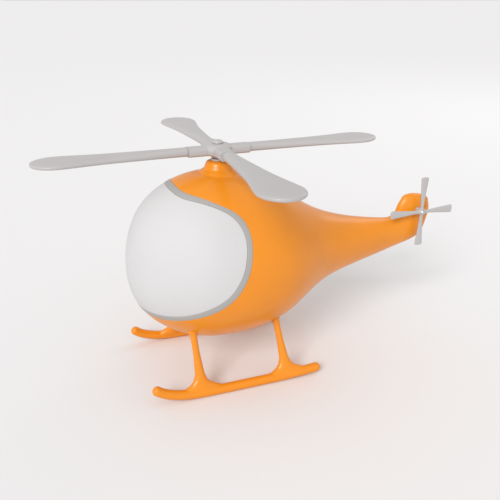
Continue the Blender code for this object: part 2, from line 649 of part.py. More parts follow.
def strut_rings(side, strut):
    """Elliptical sections of a strut, widening into the runner and into the belly."""
    foot, top = strut_axis(side, strut)
    along = (top - foot).normalized()
    across = Vector((0, 1, 0)).cross(along).normalized()
    tailwards = along.cross(across)
    angles = np.linspace(0, 2 * pi, 12, endpoint=False)
    return [[foot.lerp(top, share) + tailwards * (shift + fore * cos(a)) + across * wide * sin(a)
             for a in angles] for share, fore, wide, shift in STRUT_FORM]


def build_skid(side, tools):
    name = "skid_left" if side > 0 else "skid_right"
    rings, tips = runner_rings(side)
    skid = add_object(name, mesh_from(name, loft(rings, tips[0], tips[1])),
                      plastic(name, ORANGE, 0.32))
    for strut in range(len(STRUTS)):
        leg = add_object(name + "_leg", mesh_from(name + "_leg", loft(strut_rings(side, strut))),
                         helper=True)
        boolean(skid, leg, "UNION")
    boolean(skid, tools["belly"])
    for strut in range(len(STRUTS)):
        foot, top = strut_axis(side, strut)
        along = (top - foot).normalized()
        end = top + along * PLUG_INSIDE
        boolean(skid, rod(name + "_plug", top - along * PLUG_OVERLAP, end, PLUG_SHAFT), "UNION")
        boolean(skid, rod(name + "_pilot", end - along * SKID_SCREW_LENGTH - along * FIT_GAP,
                          end + along * FIT_GAP, SKID_SCREW_RADIUS + FIT_GAP / 2, 10))
    boolean(skid, block(name + "_ground", (-FAR, -FAR, -FAR), (FAR, FAR, 0.0)))
    skid.modifiers.new("Weld", "WELD").merge_threshold = WELD_REACH


# --- fasteners ------------------------------------------------------------------------------
def build_screws():
    head = -WELL_DEPTH_X - FIT_GAP
    tip = PILOT_DEPTH - PILOT_SPARE
    for number, (y, z) in enumerate(BODY_SCREWS, 1):
        name = f"body_screw_{number}"
        turned(name, (
            (0, tip), (SCREW_RADIUS * TOP_SHARE, tip), (SCREW_RADIUS, tip - SCREW_POINT),
            (SCREW_RADIUS, head), (SCREW_HEAD_RADIUS, head),
            (SCREW_HEAD_RADIUS, head - SCREW_HEAD_RIM),
            (SCREW_HEAD_RADIUS * TOP_SHARE, head - SCREW_HEAD_HEIGHT),
            (0, head - SCREW_HEAD_HEIGHT)), (0, y, z), axis="X", steps=12,
            material=plastic(name, STEEL, 0.35, 1.0))
    for side, word in ((1, "left"), (-1, "right")):
        for strut, place in enumerate(("front", "rear")):
            foot, top = strut_axis(side, strut)
            along = (top - foot).normalized()
            name = f"skid_screw_{word}_{place}"
            screw = turned(name, (
                (0, SKID_HEAD_HEIGHT), (SKID_HEAD_CROWN, SKID_HEAD_HEIGHT - SKID_HEAD_DOME),
                (SKID_HEAD_RADIUS, SKID_HEAD_RIM),
                (SKID_HEAD_RADIUS, FIT_GAP), (SKID_SCREW_RADIUS, FIT_GAP),
                (SKID_SCREW_RADIUS, -SKID_SCREW_LENGTH), (0, -SKID_SCREW_LENGTH)),
                top + along * PLUG_INSIDE, steps=12, material=plastic(name, STEEL, 0.35, 1.0))
            screw.rotation_euler = along.to_track_quat("Z", "Y").to_euler()


def main():
    clear_scene()
    tools = make_tools()
    for side in (1, -1):
        build_body_half(side, tools)
    build_canopy(tools)
    build_gasket(tools)
    build_hub()
    build_blades()
    build_mast()
    build_tail_rotor()
    for side in (1, -1):
        build_skid(side, tools)
    build_screws()


main()
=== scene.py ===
import json
import math

import bmesh
import bpy
import numpy as np
from mathutils import Matrix, Vector


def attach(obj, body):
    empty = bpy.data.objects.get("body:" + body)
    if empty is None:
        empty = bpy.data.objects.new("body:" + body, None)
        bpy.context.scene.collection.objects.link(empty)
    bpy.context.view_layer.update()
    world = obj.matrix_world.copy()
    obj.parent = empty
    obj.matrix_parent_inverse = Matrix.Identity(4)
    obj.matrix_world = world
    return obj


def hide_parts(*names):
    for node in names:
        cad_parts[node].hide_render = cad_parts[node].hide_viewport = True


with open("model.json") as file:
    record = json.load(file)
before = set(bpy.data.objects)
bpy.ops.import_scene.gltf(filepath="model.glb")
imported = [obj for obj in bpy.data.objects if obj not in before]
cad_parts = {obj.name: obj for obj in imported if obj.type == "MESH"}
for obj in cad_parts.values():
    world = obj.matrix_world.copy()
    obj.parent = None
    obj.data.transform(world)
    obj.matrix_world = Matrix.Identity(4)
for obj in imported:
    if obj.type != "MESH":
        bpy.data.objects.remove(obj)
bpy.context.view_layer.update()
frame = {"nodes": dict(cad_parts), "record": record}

# --- the body's form: sections of crown y, crown z, keel y, keel z and half width -------------
NOSE = (-0.1077, 0.0903)
SECTIONS = (
    (-0.1043, 0.1154, -0.1043, 0.0693, 0.0160),
    (-0.0939, 0.1363, -0.0939, 0.0524, 0.0340),
    (-0.0766, 0.1505, -0.0766, 0.0396, 0.0475),
    (-0.0570, 0.1577, -0.0570, 0.0326, 0.0560),
    (-0.0352, 0.1593, -0.0352, 0.0310, 0.0588),
    (-0.0126, 0.1536, -0.0126, 0.0329, 0.0570),
    (0.0133, 0.1404, 0.0133, 0.0414, 0.0478),
    (0.0420, 0.1221, 0.0420, 0.0584, 0.0303),
    (0.0739, 0.1109, 0.0739, 0.0686, 0.0185),
    (0.1000, 0.1062, 0.1020, 0.0750, 0.0118),
    (0.1120, 0.1052, 0.1210, 0.0800, 0.0092),
    (0.1172, 0.1080, 0.1400, 0.0862, 0.0078),
    (0.1193, 0.1126, 0.1474, 0.0975, 0.0070),
    (0.1208, 0.1165, 0.1500, 0.1090, 0.0064),
    (0.1232, 0.1202, 0.1485, 0.1172, 0.0056),
)
FIN_CROWN = 0.0052        # bulge of the fin's rear end
NOSE_LIFT = 0.006         # rise of the widest line from nose to fin
MIDDLE_SHARE = (0.35, 0.65)   # the widest line stays between these shares of keel to crown
WALL = 0.0022
INNER_END = 0.965         # place at which the hollow ends
CANOPY_WALL = 0.0020
GASKET_PROUD = 0.0002
GASKET_DEPTH = 0.0022
TRIM_SHOULDER = 0.16      # share of the trim's width in each rounded shoulder
TRIM_ROUND = 0.0004
BODY_EDGE = 0.0003        # radii of the two edges that face the trim
PANE_EDGE = 0.0006
EDGE_STEPS = 6
AROUND = 256              # points round the body
STEP = 1e-4               # of place and angle, for the surface's direction
LINE_POINTS = 260
CROSSING_PLACES = (0.01, 0.55)   # the side-view lines cross the body between these
HALVINGS = 34
SOLID_ROWS = 90           # of the coarser body that cuts other pieces
SOLID_AROUND = 96

# Side view (y, z) of the trim's two edges on the body, from the brow to under the chin.
CANOPY_LINE = (
    (-0.0740, 0.1600), (-0.0706, 0.1536), (-0.0676, 0.1515), (-0.0600, 0.1494), (-0.0515, 0.1468),
    (-0.0440, 0.1438), (-0.0375, 0.1404), (-0.0328, 0.1361), (-0.0298, 0.1305), (-0.0285, 0.1220),
    (-0.0293, 0.1125), (-0.0315, 0.1025), (-0.0354, 0.0930), (-0.0420, 0.0830), (-0.0512, 0.0748),
    (-0.0620, 0.0686), (-0.0740, 0.0637), (-0.0842, 0.0606), (-0.0950, 0.0593), (-0.1250, 0.0590),
)
PANE_LINE = (
    (-0.0795, 0.1580), (-0.0750, 0.1516), (-0.0705, 0.1487), (-0.0620, 0.1469), (-0.0530, 0.1447),
    (-0.0455, 0.1418), (-0.0395, 0.1380), (-0.0352, 0.1328), (-0.0328, 0.1260), (-0.0325, 0.1180),
    (-0.0335, 0.1110), (-0.0355, 0.1030), (-0.0394, 0.0943), (-0.0450, 0.0861), (-0.0534, 0.0788),
    (-0.0632, 0.0731), (-0.0742, 0.0681), (-0.0842, 0.0654), (-0.0950, 0.0637), (-0.1250, 0.0630),
)
FAR = 0.22                # reaches past the whole body
FINE_SEAM = 0.00003
SHARP = 0.6               # edges bent by more than this, in radians, are drawn sharp
BODY_SHARP = 0.5
HUB_SHARP = 0.7
THIN_SHARP = 0.8
FUSED_SHARP = 1.2

# --- mast and rotors ------------------------------------------------------------------------
MAST_Y = -0.0358
ROTOR_Z = 0.1745
ROTOR_TURN = 0.0237
ROTOR_RADIUS = 0.1286
COLLAR_TOP = 0.1670
COLLAR_PROFILE = (
    (0.0, 0.0), (0.0052, 0.0001), (0.0072, 0.0005), (0.0087, 0.0014), (0.0095, 0.0030),
    (0.0102, 0.0049), (0.0112, 0.0063), (0.0128, 0.0078), (0.0142, 0.0100), (0.0154, 0.0130),
    (0.0172, 0.0200),
)
COLLAR_PLACES = (0.2, 0.5)     # the crown under the collar lies between these
COLLAR_RIM = 0.0168
COLLAR_BLEND = 0.0030
COLLAR_LIFT = 0.00002
COLLAR_START = 0.0006
SKIRT_OUT = 0.0004             # the collar's edge turns down into the body's wall here
SKIRT_DROP = 0.0003
COLLAR_BOSS = (0.0105, 0.0100)
COLLAR_BOSS_END = 0.1500
HUB_PROFILE = (
    (0.0, 0.0046), (0.0062, 0.0046), (0.0083, 0.0040), (0.0099, 0.0027), (0.0105, 0.0),
    (0.0098, -0.0026), (0.0080, -0.0039), (0.0058, -0.0046), (0.0047, -0.0053),
    (0.0044, -0.0060), (0.0, -0.0060),
)
CAP_PROFILE = (
    (0.0, 0.00715), (0.0016, 0.0070), (0.0030, 0.0064), (0.0038, 0.0055), (0.0040, 0.0049),
    (0.0030, 0.0049), (0.0030, 0.0030), (0.0, 0.0030),
)
HUB_SHAFT_HOLE = ((0, 0.0015), (0.0028, 0.0015), (0.0028, -0.02), (0, -0.02))
HUB_CAP_HOLE = ((0, 0.02), (0.0033, 0.02), (0.0033, 0.0027), (0, 0.0027))
ARM_REACH = 0.0229
ARM_SPARE = 0.0045        # cut off again, so that the arms end flat
ARM_POWER = 3.4           # 2 gives an ellipse and more a fuller section
ARM_HALF = (0.0060, 0.0034)
ARM_DROP = 0.0003
SPIGOT_HALF = (0.0032, 0.0016)
SPIGOT_SPARE = 0.0002
SPIGOT_JOIN = 0.00001
SOCKET_DEPTH = 0.0080
SOCKET_GAP = 0.00015
SOCKET_POWER = 8.0
END_CUT = (0.010, 0.011)  # length and half width of the cutter that trims an arm
BLADE_HALF_HEIGHTS = (0.0031, 0.0023)
BLADE_TIP_POWER = 2.1
BLADE_POWER = 2.7
BLADE_EDGE = 0.0003
BLADE_PLAN = (
    (0.0232, 0.0045), (0.0400, 0.0056), (0.0600, 0.0075), (0.0780, 0.0094), (0.0950, 0.0122),
    (0.1050, 0.0141), (0.1105, 0.0149),
)
TAIL_CENTRE = (0.0125, 0.1350, 0.1115)
TAIL_RADIUS = 0.0293
TAIL_CORNER = 0.0016
TAIL_HUB_PROFILE = (
    (0, 0.0017), (0.0024, 0.0017), (0.0030, 0.0010), (0.0030, -0.0012), (0.0024, -0.0017),
    (0, -0.0017),
)
TAIL_BORE = ((0, 0.02), (0.00108, 0.02), (0.00108, -0.02), (0, -0.02))
PADDLE_PLACES = (0, 0.0080, TAIL_RADIUS)
PADDLE_HALF_WIDTHS = (0.0014, 0.0015, 0.0036)
PADDLE_HALF_HEIGHTS = (0.0004, 0.00055)   # at the very tip, and what the rest adds to it
PADDLE_POWER = 2.8
LINER_BORE = 0.00262
LINER_RADIUS = 0.0045
LINER_FOOT = 0.1490
FLANGE_RADII = (0.0049, 0.0052)
FLANGE_HEIGHTS = (0.0010, 0.0007)
FLANGE_LIFT = 0.0001

# --- skids ----------------------------------------------------------------------------------
RUNNER_X = 0.046
RUNNER_RADIUS = 0.0037
RUNNER_Z = 0.0034
BELLY_Z = 0.0460
STRUT_TOP_X = 0.0305
STRUTS = ((-0.0650, -0.0670), (0.0032, -0.0014))
RUNNER_PATH = (
    (0.0307, 0.0058), (0.0150, 0.0044), (0.0000, 0.0037), (-0.0300, 0.0034), (-0.0620, 0.0034),
    (-0.0740, 0.0040), (-0.0840, 0.0057), (-0.0920, 0.0084), (-0.0983, 0.0121), (-0.1014, 0.0150),
)
STRUT_FORM = (
    (0.01, 0.0200, 0.0030, -0.0022), (0.055, 0.0188, 0.0032, -0.0021),
    (0.09, 0.0150, 0.0033, -0.0017), (0.12, 0.0112, 0.0033, -0.0012),
    (0.16, 0.0079, 0.0032, -0.0007), (0.22, 0.0054, 0.0031, -0.0003),
    (0.32, 0.0037, 0.0030, 0.0), (0.65, 0.0026, 0.0025, 0.0), (0.88, 0.0025, 0.0025, 0.0),
    (0.98, 0.0029, 0.0029, 0.0), (1.06, 0.0044, 0.0044, 0.0),
)
RUNNER_END = 0.9          # length of a runner's round end, in runner radii
STRUT_BITE = 0.0007       # the struts reach this far into the belly
PLUG_PROFILE = ((0, 0.0060), (0.0018, 0.0060), (0.0018, -0.0100), (0, -0.0100))

# --- screw bosses and holes -------------------------------------------------------------------
BODY_SCREWS = ((-0.028, 0.046), (0.018, 0.058), (0.018, 0.122), (0.088, 0.091))
BOSS_START = -0.0005
BOSS_PROFILE = ((0, 0.0), (0.0050, 0.0), (0.0050, 0.075), (0, 0.075))
SCREW_HOLE = (
    (0, -0.0086), (0.0016, -0.0086), (0.0016, 0.0090), (0.0034, 0.0090), (0.0034, 0.09), (0, 0.09),
)
MAST_HOLE = ((0, 0.03), (0.0048, 0.03), (0.0048, -0.01), (0, -0.01))
MAST_HOLE_Z = 0.1540
PLUG_HOLE = ((0, 0.008), (0.0021, 0.008), (0.0021, -0.012), (0, -0.012))
AXLE_HOLE = ((0, 0.02), (0.0013, 0.02), (0.0013, -0.0033), (0, -0.0033))

# --- fillets: voxel size and rounds of smoothing ----------------------------------------------
HUB_FILLET = (0.0003, 34)
PROPELLER_FILLET = (0.0002, 6)
SKID_FILLET = (0.0004, 14)
SMOOTHING = 0.5

# --- surface detail: scale and detail of each noise -------------------------------------------
TONE_NOISE = (38, 3)
TONE_STOPS = (0.3, 0.7)
GLOSS_NOISE = (160, 4)
GLOSS_SPREAD = (0.9, 1.1)
GRAIN_NOISE = (2600, 2)
GRAIN_DEPTH = 0.0001

# --- floor, light and camera ------------------------------------------------------------------
FLOOR_SIZE = 200.0
PAPER_COLOUR = (0.785, 0.78, 0.78, 1)
PAPER_ROUGHNESS = 0.9
WORLD_COLOUR = (1.0, 0.99, 0.99, 1)
WORLD_STRENGTH = 0.75
KEY_ENERGY = 2.0
KEY_ANGLE = 24
KEY_FROM = (0.61, -0.575, 0.545)
GLOW_ENERGY = 5
GLOW_SIZE = 0.3
GLOW_PLACE = (-0.7, 1.1, 0.9)
CAMERA_TURN = 70.285
CAMERA_TILT = 22.489
CAMERA_PLACE = (0.4109, -0.1586, 0.2735)
SENSOR_WIDTH = 36
LENS = 43.49
CLIP_START = 0.01


# --- curves ---------------------------------------------------------------------------------
def spline(knots, values):
    """The natural cubic spline through (knots, values), as a function of an array."""
    knots, values = np.asarray(knots, float), np.asarray(values, float)
    gap = np.diff(knots)
    slope = np.diff(values) / gap
    matrix = np.eye(len(knots))
    right = np.zeros(len(knots))
    for i in range(1, len(knots) - 1):
        matrix[i, i - 1:i + 2] = gap[i - 1], 2 * (gap[i - 1] + gap[i]), gap[i]
        right[i] = 6 * (slope[i] - slope[i - 1])
    bend = np.linalg.solve(matrix, right)

    def at(x):
        i = np.clip(np.searchsorted(knots, x) - 1, 0, len(gap) - 1)
        left, rest = x - knots[i], knots[i + 1] - x
        cubic = (bend[i] * rest ** 3 + bend[i + 1] * left ** 3) / (6 * gap[i])
        line_from = values[i] / gap[i] - bend[i] * gap[i] / 6
        line_to = values[i + 1] / gap[i] - bend[i + 1] * gap[i] / 6
        return cubic + line_from * rest + line_to * left
    return at


def smooth_path(points, count):
    points = np.asarray(points, float)
    lengths = np.concatenate([[0], np.cumsum(np.linalg.norm(np.diff(points, axis=0), axis=1))])
    places = np.linspace(0, lengths[-1], count)
    return np.stack([spline(lengths, points[:, k])(places) for k in range(points.shape[1])], 1)


def offset_line(line, distance):
    along = np.gradient(line, axis=0)
    along /= np.linalg.norm(along, axis=1)[:, None]
    return line + distance * np.stack([along[:, 1], -along[:, 0]], 1)


# --- the body's surface -----------------------------------------------------------------------
TABLE = np.array(SECTIONS)
KNOTS = np.linspace(0, 1, len(SECTIONS) + 1)
MIDDLE = NOSE[1] + NOSE_LIFT * KNOTS[1:]
SHARE = np.clip((MIDDLE - TABLE[:, 3]) / (TABLE[:, 1] - TABLE[:, 3]), *MIDDLE_SHARE)
MIDDLE_Z = TABLE[:, 3] + SHARE * (TABLE[:, 1] - TABLE[:, 3])
crown_root = spline(KNOTS, np.r_[0, np.sqrt(TABLE[:, 0] - NOSE[0])])
keel_root = spline(KNOTS, np.r_[0, np.sqrt(TABLE[:, 2] - NOSE[0])])
rise = spline(KNOTS, np.r_[0, TABLE[:, 1] - MIDDLE_Z])
fall = spline(KNOTS, np.r_[0, MIDDLE_Z - TABLE[:, 3]])
level = spline(KNOTS, np.r_[NOSE[1], MIDDLE_Z])
width = spline(KNOTS, np.r_[0, TABLE[:, 4]])


def skin(place, angle):
    """The surface, by place from nose (0) to fin (1) and by angle from the crown."""
    crown_y = NOSE[0] + crown_root(place) ** 2
    keel_y = NOSE[0] + keel_root(place) ** 2
    up = np.cos(angle)
    y = keel_y + (crown_y - keel_y) * (up + 1) / 2
    z = level(place) + np.where(up > 0, rise(place), fall(place)) * up
    return np.stack([width(place) * np.sin(angle), y, z], -1)


def raised(place, angle, height):
    """The surface moved outwards by height."""
    place = np.broadcast_to(place, np.shape(angle))
    along = skin(place + STEP, angle) - skin(place - STEP, angle)
    sideways = skin(place, angle + STEP) - skin(place, angle - STEP)
    normal = np.cross(sideways, along)
    normal /= np.linalg.norm(normal, axis=-1)[..., None]
    return skin(place, angle) + normal * height


ANGLES = np.linspace(0, 2 * math.pi, AROUND, endpoint=False)


def crossing(edge, distance):
    """Where the surface crosses a side-view line moved towards the tail by distance."""
    line = offset_line(smooth_path(edge, LINE_POINTS), -distance)
    corners = np.array([*line, (-FAR, line[-1][1]), (-FAR, FAR), (line[0][0], FAR)])
    ends = np.roll(corners, -1, axis=0)
    low, high = (np.full(AROUND, place) for place in CROSSING_PLACES)
    for _ in range(HALVINGS):
        mid = (low + high) / 2
        point = skin(mid, ANGLES)
        y, z = point[:, 1, None], point[:, 2, None]
        spans = (corners[:, 1] > z) != (ends[:, 1] > z)
        drop = np.where(spans, ends[:, 1] - corners[:, 1], 1)
        at_y = corners[:, 0] + (z - corners[:, 1]) * (ends[:, 0] - corners[:, 0]) / drop
        inside = (spans & (y < at_y)).sum(axis=1) % 2 == 1
        low, high = np.where(inside, mid, low), np.where(inside, high, mid)
    return (low + high) / 2


# --- mesh helpers ---------------------------------------------------------------------------
def loft(bm, rings, start=None, end=None):
    """Skins closed rings. A pole closes an end, or its own flat face does."""
    rows = [[bm.verts.new(point) for point in ring] for ring in rings]
    count = len(rows[0])
    for row, following in zip(rows, rows[1:]):
        for k in range(count):
            n = (k + 1) % count
            bm.faces.new((row[k], row[n], following[n], following[k]))
    for row, pole in ((rows[0], start), (rows[-1], end)):
        if pole is None:
            bm.faces.new(row)
            continue
        tip = bm.verts.new(pole)
        for k in range(count):
            bm.faces.new((row[k], row[(k + 1) % count], tip))


def turn(bm, profile, place, steps=96):
    """A turned solid: (radius, height) from axis to axis, or a closed loop off the axis."""
    rows = []
    for radius, height in profile:
        count = steps if radius else 1
        rows.append([bm.verts.new(place @ Vector((radius * math.cos(2 * math.pi * k / steps),
                                                  radius * math.sin(2 * math.pi * k / steps),
                                                  height))) for k in range(count)])
    closed = [(rows[-1], rows[0])] if profile[0][0] else []
    for row, following in list(zip(rows, rows[1:])) + closed:
        for k in range(steps):
            n = (k + 1) % steps
            corners = [row[0]] if len(row) == 1 else [row[k], row[n]]
            corners += [following[0]] if len(following) == 1 else [following[n], following[k]]
            bm.faces.new(corners)


def new_object(name, bm, sharp=SHARP):
    bmesh.ops.recalc_face_normals(bm, faces=bm.faces)
    mesh = bpy.data.meshes.new(name)
    bm.to_mesh(mesh)
    bm.free()
    mesh.shade_smooth()
    mesh.set_sharp_from_angle(angle=sharp)
    item = bpy.data.objects.new(name, mesh)
    bpy.context.scene.collection.objects.link(item)
    return item


def settled(item, sharp=SHARP, floor=None):
    """Applies an object's modifiers, so that its sharp edges can be found again."""
    bpy.context.view_layer.update()
    graph = bpy.context.evaluated_depsgraph_get()
    mesh = bpy.data.meshes.new_from_object(item.evaluated_get(graph))
    item.modifiers.clear()
    item.data = mesh
    if floor is not None:
        for vertex in mesh.vertices:
            vertex.co.z = max(vertex.co.z, floor)
    mesh.shade_smooth()
    mesh.set_sharp_from_angle(angle=sharp)
    return item


def combine(item, tools, sharp=SHARP, floor=None):
    """Joins or cuts an object with (operation, tool) pairs and removes the tools."""
    for operation, tool in tools:
        modifier = item.modifiers.new(operation, "BOOLEAN")
        modifier.operation = operation
        modifier.solver = "EXACT"
        modifier.object = tool
    settled(item, sharp, floor)
    for _, tool in tools:
        bpy.data.objects.remove(tool)


def fused(name, bm, voxel, rounds):
    """Overlapping solids grown into one skin, with soft fillets where they meet."""
    item = new_object(name, bm)
    remesh = item.modifiers.new("Fuse", "REMESH")
    remesh.mode = "VOXEL"
    remesh.voxel_size = voxel
    smooth = item.modifiers.new("Soften", "SMOOTH")
    smooth.factor = SMOOTHING
    smooth.iterations = rounds
    return settled(item, FUSED_SHARP)


def flat_section(half_width, half_height, count, power):
    angles = np.linspace(0, 2 * math.pi, count, endpoint=False) + math.pi / count
    c, s = np.cos(angles), np.sin(angles)
    return np.stack([half_width * np.sign(c) * np.abs(c) ** (2 / power),
                     half_height * np.sign(s) * np.abs(s) ** (2 / power)], 1)


def bar(bm, stations, place, power, count=64, tip=None):
    """A bar along the local +X: stations are (x, half width, half height)."""
    rings = [[place @ Vector((x, w, h)) for w, h in flat_section(wide, tall, count, power)]
             for x, wide, tall in stations]
    loft(bm, rings, end=place @ Vector(tip) if tip else None)


def body_solid(inset):
    """The whole body as a solid, moved inwards by inset."""
    angles = np.linspace(0, 2 * math.pi, SOLID_AROUND, endpoint=False)
    rings = [raised(place, angles, -inset) for place in np.linspace(0, 1, SOLID_ROWS)[1:-1]]
    bm = bmesh.new()
    loft(bm, rings, (0, NOSE[0] + inset, NOSE[1]))
    return new_object("body_solid", bm)


# --- procedural plastics and steel ------------------------------------------------------------
def look(name, colour, roughness, grain=0.04, shade=0.03, metallic=0.0, specular=0.5):
    """A moulded surface: faint cloudy tone, uneven gloss and a fine grain."""
    material = bpy.data.materials.new(name)
    material.use_nodes = True
    nodes, links = material.node_tree.nodes, material.node_tree.links
    shader = nodes["Principled BSDF"]
    shader.inputs["Metallic"].default_value = metallic
    shader.inputs["Specular IOR Level"].default_value = specular
    place = nodes.new("ShaderNodeTexCoord")

    def noise(scale, detail):
        texture = nodes.new("ShaderNodeTexNoise")
        texture.inputs["Scale"].default_value = scale
        texture.inputs["Detail"].default_value = detail
        links.new(place.outputs["Object"], texture.inputs["Vector"])
        return texture.outputs["Fac"]

    ramp = nodes.new("ShaderNodeValToRGB")
    for stop, position in zip(ramp.color_ramp.elements, TONE_STOPS):
        stop.position = position
    ramp.color_ramp.elements[0].color = (*[c * (1 - shade) for c in colour], 1)
    ramp.color_ramp.elements[1].color = (*[min(1, c * (1 + shade)) for c in colour], 1)
    links.new(noise(*TONE_NOISE), ramp.inputs["Fac"])
    links.new(ramp.outputs["Color"], shader.inputs["Base Color"])
    gloss = nodes.new("ShaderNodeMapRange")
    gloss.inputs["To Min"].default_value = roughness * GLOSS_SPREAD[0]
    gloss.inputs["To Max"].default_value = roughness * GLOSS_SPREAD[1]
    links.new(noise(*GLOSS_NOISE), gloss.inputs["Value"])
    links.new(gloss.outputs["Result"], shader.inputs["Roughness"])
    bump = nodes.new("ShaderNodeBump")
    bump.inputs["Strength"].default_value = grain
    bump.inputs["Distance"].default_value = GRAIN_DEPTH
    links.new(noise(*GRAIN_NOISE), bump.inputs["Height"])
    links.new(bump.outputs["Normal"], shader.inputs["Normal"])
    return material


ORANGE = look("orange_plastic", (0.78, 0.255, 0.008), 0.30, specular=0.45)
MILKY = look("milky_plastic", (0.585, 0.58, 0.58), 0.6, shade=0.008, specular=0.25)
TRIM = look("trim_plastic", (0.36, 0.35, 0.335), 0.5, shade=0.02)
GREY = look("light_grey_plastic", (0.44, 0.425, 0.42), 0.34, shade=0.015)
BUSH = look("bush_plastic", (0.46, 0.44, 0.43), 0.5, shade=0.02)
STEEL = look("zinc_steel", (0.60, 0.60, 0.61), 0.32, metallic=1.0, grain=0.08, shade=0.05)
SLOTS = {"body_orange": ORANGE, "canopy_milk": MILKY, "trim_grey": TRIM, "rotor_grey": GREY,
         "bush_grey": BUSH, "steel": STEEL}


def show(item, body, slot, *nodes):
    """Dresses a finished piece and lets it stand for CAD nodes on a body."""
    item.data.materials.clear()
    item.data.materials.append(SLOTS[slot])
    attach(item, body)
    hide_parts(*nodes)


# --- fuselage, canopy and trim ----------------------------------------------------------------
def edge_rows(edge, start, side, radius):
    """Rows that round the surface over an edge, from the surface down the side."""
    rows = []
    for a in np.linspace(0, math.pi / 2, EDGE_STEPS):
        places = crossing(edge, start + side * radius * (1 - math.sin(a)))
        rows.append(raised(places, ANGLES, -radius * (1 - math.cos(a))))
    return rows


def make_body():
    rounding = edge_rows(CANOPY_LINE, FINE_SEAM, 1, BODY_EDGE)
    first = crossing(CANOPY_LINE, FINE_SEAM + BODY_EDGE)
    edge = crossing(CANOPY_LINE, FINE_SEAM)
    inner = [raised(INNER_END + (edge - INNER_END) * v, ANGLES, -WALL)
             for v in np.linspace(0, 1, 70)]
    outer = [raised(first + (1 - first) * v, ANGLES, 0.0) for v in np.linspace(0, 1, 240)[1:]]
    last = outer[-1]
    half = AROUND // 2
    across = last[0] - last[half]
    outwards = np.array([0, -across[2], across[1]]) / np.linalg.norm(across)
    if outwards[2] < 0:
        outwards = -outwards
    centre = (last[0] + last[half]) / 2
    fin = [centre + (last - centre) * math.cos(t) + outwards * FIN_CROWN * math.sin(t)
           for t in np.linspace(0, math.pi / 2, 14)[1:-1]]
    bm = bmesh.new()
    rings = inner + rounding[::-1] + outer + fin
    loft(bm, rings, tuple(inner[0].mean(axis=0)), tuple(centre + outwards * FIN_CROWN))
    shell = new_object("body_shell", bm)

    # The mast collar swells out of the crown and carries on down inside as a boss.
    profile = np.array(COLLAR_PROFILE)
    collar_z = spline(profile[:, 0], COLLAR_TOP - profile[:, 1])
    places = np.linspace(*COLLAR_PLACES, 400)
    crown_y = NOSE[0] + crown_root(places) ** 2
    turns = np.linspace(0, 2 * math.pi, 110, endpoint=False)

    def crown_height(x, y):
        place = np.interp(y, crown_y, places)
        return level(place) + rise(place) * np.sqrt(1 - (x / width(place)) ** 2)

    def ring(r, height):
        x, y = r * np.cos(turns), MAST_Y + r * np.sin(turns)
        return np.stack([x, y, height(x, y)], 1)

    rows = []
    for r in np.linspace(COLLAR_START, COLLAR_RIM, 64):
        def height(x, y, r=r):
            ground, dome = crown_height(x, y), collar_z(r)
            near = np.clip(COLLAR_BLEND - np.abs(ground - dome), 0, None) / COLLAR_BLEND
            return np.maximum(ground, dome) + near ** 2 * COLLAR_BLEND / 4 + COLLAR_LIFT
        rows.append(ring(r, height))
    for r, drop in ((COLLAR_RIM + SKIRT_OUT, SKIRT_DROP), (COLLAR_RIM + SKIRT_OUT, WALL / 2),
                    (COLLAR_BOSS[0], WALL / 2)):
        rows.append(ring(r, lambda x, y, drop=drop: crown_height(x, y) - drop))
    rows.append(ring(COLLAR_BOSS[1], lambda x, y: np.full_like(x, COLLAR_BOSS_END)))
    bm = bmesh.new()
    loft(bm, rows, (0, MAST_Y, COLLAR_TOP + COLLAR_LIFT), (0, MAST_Y, COLLAR_BOSS_END))
    collar = new_object("collar", bm, sharp=BODY_SHARP)

    bm = bmesh.new()
    for y, z in BODY_SCREWS:
        turn(bm, BOSS_PROFILE,
             Matrix.Translation((BOSS_START, y, z)) @ Matrix.Rotation(-math.pi / 2, 4, "Y"), 46)
    bosses = new_object("bosses", bm)
    combine(bosses, [("INTERSECT", body_solid(WALL / 2))])

    bm = bmesh.new()
    for y, z in BODY_SCREWS:
        turn(bm, SCREW_HOLE,
             Matrix.Translation((0, y, z)) @ Matrix.Rotation(-math.pi / 2, 4, "Y"), 52)
    turn(bm, MAST_HOLE, Matrix.Translation((0, MAST_Y, MAST_HOLE_Z)), 90)
    for side in (1, -1):
        for strut in range(len(STRUTS)):
            turn(bm, PLUG_HOLE, strut_top(side, strut), 30)
    turn(bm, AXLE_HOLE,
         Matrix.Translation((0, *TAIL_CENTRE[1:])) @ Matrix.Rotation(math.pi / 2, 4, "Y"), 34)
    holes = new_object("holes", bm)
    combine(shell, [("UNION", collar), ("UNION", bosses), ("DIFFERENCE", holes)],
            sharp=BODY_SHARP)
    show(shell, "airframe", "body_orange", "fuselage_left", "fuselage_right")


def make_pane():
    rounding = edge_rows(PANE_LINE, -FINE_SEAM, -1, PANE_EDGE)
    last = crossing(PANE_LINE, -FINE_SEAM - PANE_EDGE)
    edge = crossing(PANE_LINE, -FINE_SEAM)
    outer = [raised(last * u, ANGLES, 0.0) for u in np.linspace(0, 1, 110)[1:]]
    inner = [raised(edge * u, ANGLES, -CANOPY_WALL) for u in np.linspace(1, 0, 40)[:-1]]
    bm = bmesh.new()
    loft(bm, outer + rounding[1:] + inner, (0, NOSE[0], NOSE[1]),
         (0, NOSE[0] + CANOPY_WALL, NOSE[1]))
    show(new_object("canopy_pane", bm), "airframe", "canopy_milk", "canopy")


